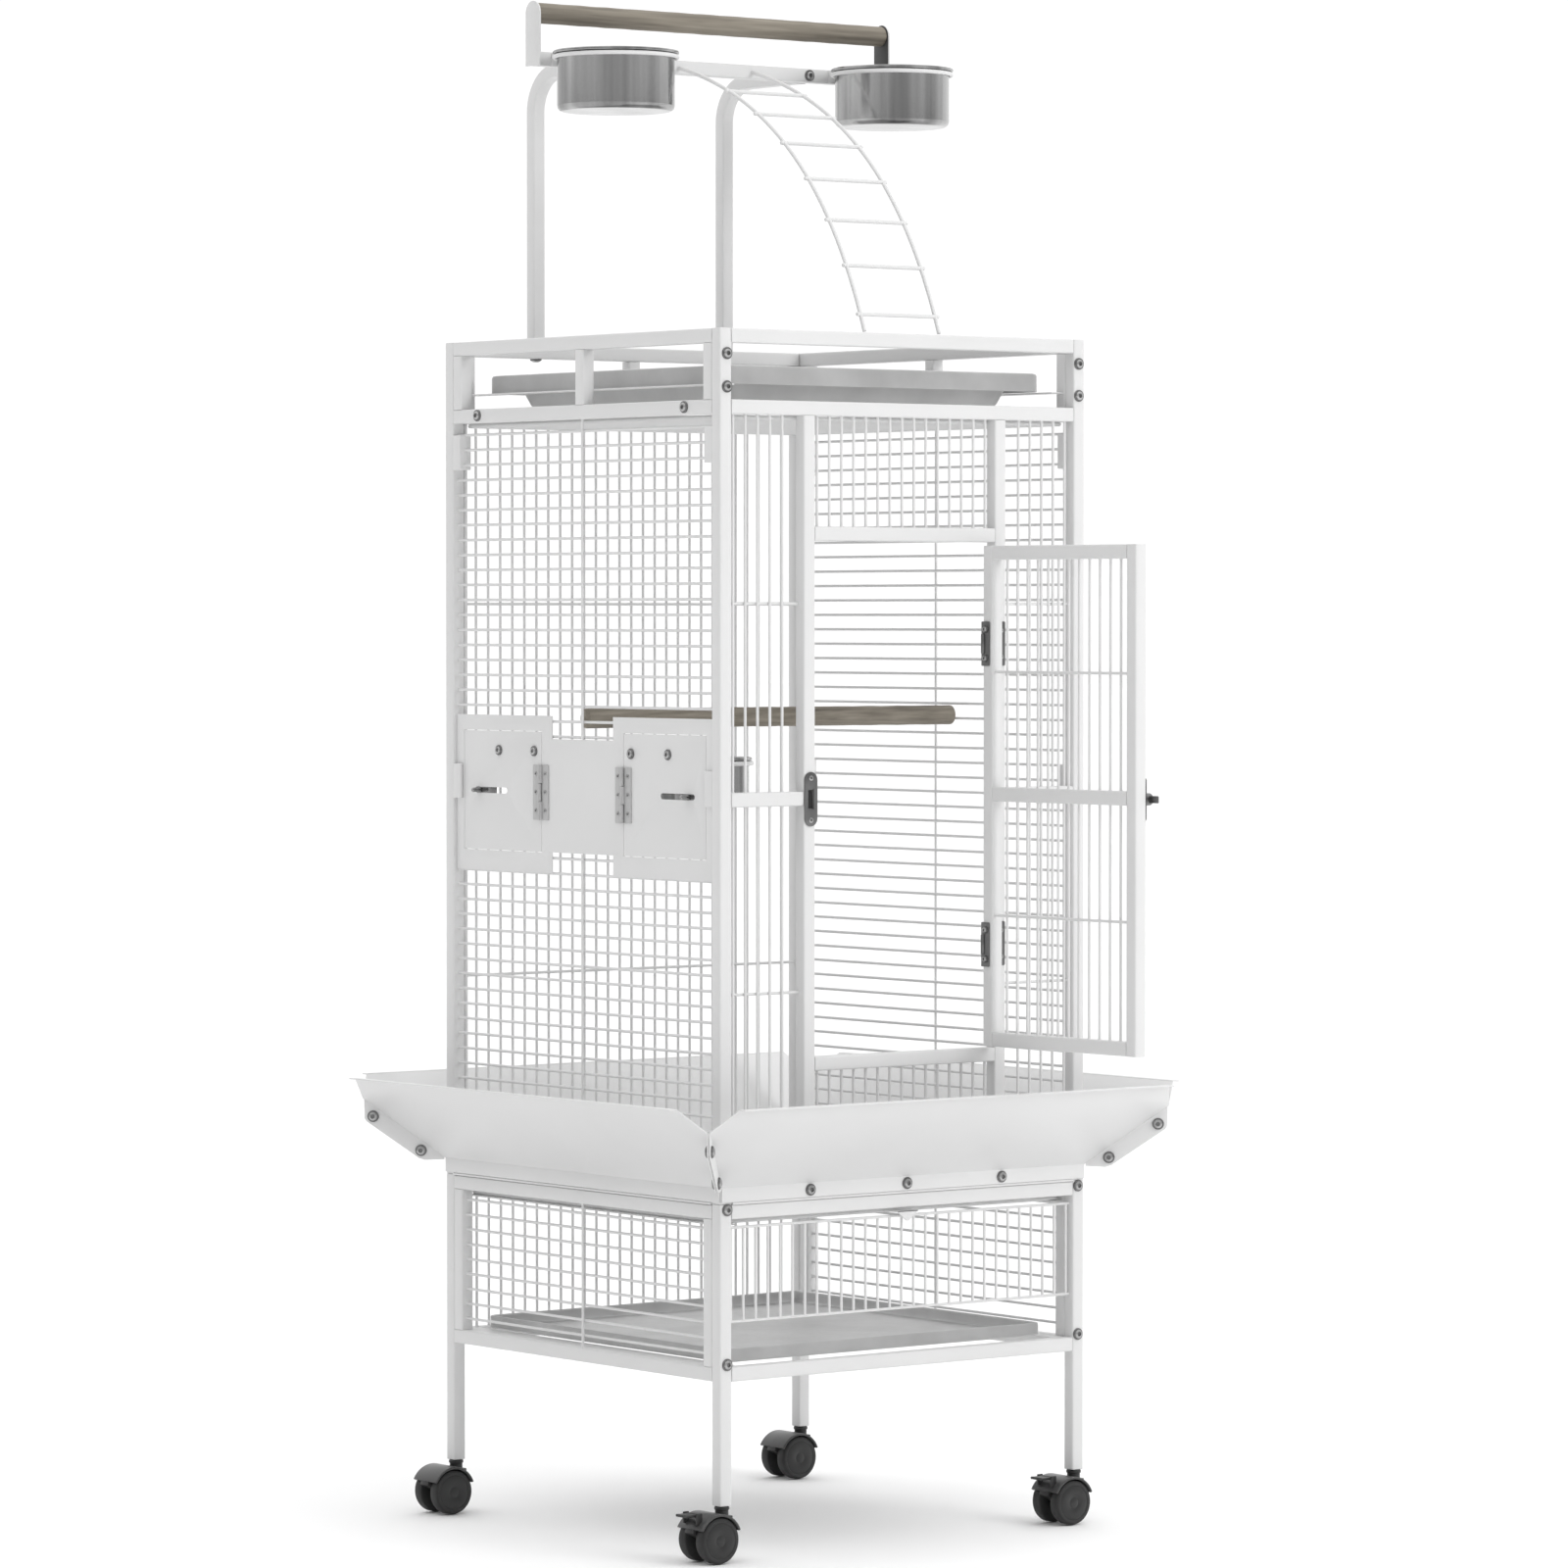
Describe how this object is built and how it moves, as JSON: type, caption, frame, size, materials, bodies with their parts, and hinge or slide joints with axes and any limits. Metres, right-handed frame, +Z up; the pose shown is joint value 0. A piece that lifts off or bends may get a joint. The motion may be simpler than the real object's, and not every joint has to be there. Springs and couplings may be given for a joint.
{
  "type": "bird cage on stand",
  "caption": "Square wire bird cage on a wheeled stand, with a front door, side feeder doors, slide-out trays, a seed apron and a play top with perch, cups and ladder.",
  "frame": {"origin": "on the floor, under the middle of the footprint with the front door standing open", "axes": "+Z up; the front door faces -Y, the feeder doors face -X"},
  "size_m": [0.643, 0.7873, 1.5257],
  "materials": {
    "white_paint": "satin powder coat",
    "tray_paint": "satin powder coat",
    "wood": "dry, grey-brown, fine grain",
    "stainless": "polished, lightly brushed",
    "dark_metal": "satin",
    "black_plastic": "satin"
  },
  "bodies": {
    "frame": {"left_cage_side": "white_paint", "right_cage_side": "white_paint", "left_stand_side": "white_paint", "right_stand_side": "white_paint", "front_panel": "white_paint", "back_panel": "white_paint", "front_top_rail": "white_paint", "back_top_rail": "white_paint", "stand_back_panel": "white_paint", "stand_front_guard": "white_paint", "stand_front_rail": "white_paint", "stand_bottom_front_rail": "white_paint", "roof_grille": "white_paint", "front_apron": "white_paint", "right_apron": "white_paint", "back_apron": "white_paint", "left_apron": "white_paint", "left_arch": "white_paint", "right_arch": "white_paint", "left_perch_bracket": "white_paint", "right_perch_bracket": "white_paint", "crossbar": "white_paint", "top_perch": "wood", "cage_perch": "wood", "left_cup_ring": "white_paint", "right_cup_ring": "white_paint", "ladder": "white_paint", "jamb_leaf_top": "dark_metal", "jamb_leaf_bottom": "dark_metal", "strike_plate": "dark_metal", "feeder_plate": "white_paint"},
    "front_door": {"front_door": "white_paint", "door_leaf_top": "dark_metal", "door_leaf_bottom": "dark_metal", "latch_plate": "dark_metal"},
    "latch_handle": {"latch_handle": "dark_metal"},
    "top_tray": {"top_tray": "tray_paint"},
    "bottom_tray": {"bottom_tray": "tray_paint"},
    "floor_grate": {"floor_grate": "white_paint"},
    "left_cup": {"left_cup": "stainless"},
    "right_cup": {"right_cup": "stainless"},
    "front_feeder_door": {"front_feeder_door": "white_paint", "front_feeder_ring": "white_paint"},
    "front_feeder_bolt": {"front_feeder_bolt": "stainless"},
    "front_feeder_cup": {"front_feeder_cup": "stainless"},
    "rear_feeder_door": {"rear_feeder_door": "white_paint", "rear_feeder_ring": "white_paint"},
    "rear_feeder_bolt": {"rear_feeder_bolt": "stainless"},
    "rear_feeder_cup": {"rear_feeder_cup": "stainless"},
    "front_left_caster": {"front_left_caster": "black_plastic"},
    "front_left_wheels": {"front_left_wheels": "black_plastic"},
    "left_brake_lever": {"left_brake_lever": "black_plastic"},
    "rear_left_caster": {"rear_left_caster": "black_plastic"},
    "rear_left_wheels": {"rear_left_wheels": "black_plastic"},
    "front_right_caster": {"front_right_caster": "black_plastic"},
    "front_right_wheels": {"front_right_wheels": "black_plastic"},
    "right_brake_lever": {"right_brake_lever": "black_plastic"},
    "rear_right_caster": {"rear_right_caster": "black_plastic"},
    "rear_right_wheels": {"rear_right_wheels": "black_plastic"}
  },
  "joints": [
    {"name": "front_door_swing", "type": "hinge", "parent": "frame", "child": "front_door", "pos_m": [0.112, -0.16178, 0.734], "axis": [0, 0, 1], "range_deg": [-92, 78]},
    {"name": "latch_turn", "type": "hinge", "parent": "front_door", "child": "latch_handle", "pos_m": [0.1195, -0.37665, 0.735], "axis": [-0.9994, -0.0349, 0], "range_deg": [0, 90]},
    {"name": "top_tray_slide", "type": "slide", "parent": "frame", "child": "top_tray", "axis": [0, -1, 0], "range_m": [0, 0.38]},
    {"name": "bottom_tray_slide", "type": "slide", "parent": "frame", "child": "bottom_tray", "axis": [0, -1, 0], "range_m": [0, 0.38]},
    {"name": "floor_grate_slide", "type": "slide", "parent": "frame", "child": "floor_grate", "axis": [0, -1, 0], "range_m": [0, 0.4]},
    {"name": "left_cup_lift", "type": "slide", "parent": "frame", "child": "left_cup", "axis": [0, 0, 1], "range_m": [0, 0.08]},
    {"name": "right_cup_lift", "type": "slide", "parent": "frame", "child": "right_cup", "axis": [0, 0, 1], "range_m": [0, 0.08]},
    {"name": "front_feeder_door_swing", "type": "hinge", "parent": "frame", "child": "front_feeder_door", "pos_m": [-0.2285, 0.00322, 0.737], "axis": [0, 0, -1], "range_deg": [0, 120]},
    {"name": "front_feeder_bolt_slide", "type": "slide", "parent": "front_feeder_door", "child": "front_feeder_bolt", "axis": [0, 1, 0], "range_m": [-0.006, 0.02]},
    {"name": "front_feeder_cup_lift", "type": "slide", "parent": "front_feeder_door", "child": "front_feeder_cup", "axis": [0, 0, 1], "range_m": [0, 0.05]},
    {"name": "rear_feeder_door_swing", "type": "hinge", "parent": "frame", "child": "rear_feeder_door", "pos_m": [-0.2285, 0.14122, 0.737], "axis": [0, 0, 1], "range_deg": [0, 120]},
    {"name": "rear_feeder_bolt_slide", "type": "slide", "parent": "rear_feeder_door", "child": "rear_feeder_bolt", "axis": [0, -1, 0], "range_m": [-0.006, 0.02]},
    {"name": "rear_feeder_cup_lift", "type": "slide", "parent": "rear_feeder_door", "child": "rear_feeder_cup", "axis": [0, 0, 1], "range_m": [0, 0.05]},
    {"name": "front_left_caster_swivel", "type": "hinge", "parent": "frame", "child": "front_left_caster", "pos_m": [-0.223, -0.15078, 0.05], "axis": [0, 0, 1], "continuous": true},
    {"name": "front_left_wheels_spin", "type": "hinge", "parent": "front_left_caster", "child": "front_left_wheels", "pos_m": [-0.239, -0.15078, 0.0225], "axis": [0, 1, 0], "continuous": true},
    {"name": "left_brake_lever_tilt", "type": "hinge", "parent": "front_left_caster", "child": "left_brake_lever", "pos_m": [-0.259, -0.15078, 0.0475], "axis": [0, 1, 0], "range_deg": [-20, 15]},
    {"name": "rear_left_caster_swivel", "type": "hinge", "parent": "frame", "child": "rear_left_caster", "pos_m": [-0.223, 0.29522, 0.05], "axis": [0, 0, 1], "continuous": true},
    {"name": "rear_left_wheels_spin", "type": "hinge", "parent": "rear_left_caster", "child": "rear_left_wheels", "pos_m": [-0.239, 0.29522, 0.0225], "axis": [0, 1, 0], "continuous": true},
    {"name": "front_right_caster_swivel", "type": "hinge", "parent": "frame", "child": "front_right_caster", "pos_m": [0.223, -0.15078, 0.05], "axis": [0, 0, 1], "continuous": true},
    {"name": "front_right_wheels_spin", "type": "hinge", "parent": "front_right_caster", "child": "front_right_wheels", "pos_m": [0.207, -0.15078, 0.0225], "axis": [0, 1, 0], "continuous": true},
    {"name": "right_brake_lever_tilt", "type": "hinge", "parent": "front_right_caster", "child": "right_brake_lever", "pos_m": [0.187, -0.15078, 0.0475], "axis": [0, 1, 0], "range_deg": [-20, 15]},
    {"name": "rear_right_caster_swivel", "type": "hinge", "parent": "frame", "child": "rear_right_caster", "pos_m": [0.223, 0.29522, 0.05], "axis": [0, 0, 1], "continuous": true},
    {"name": "rear_right_wheels_spin", "type": "hinge", "parent": "rear_right_caster", "child": "rear_right_wheels", "pos_m": [0.207, 0.29522, 0.0225], "axis": [0, 1, 0], "continuous": true}
  ]
}
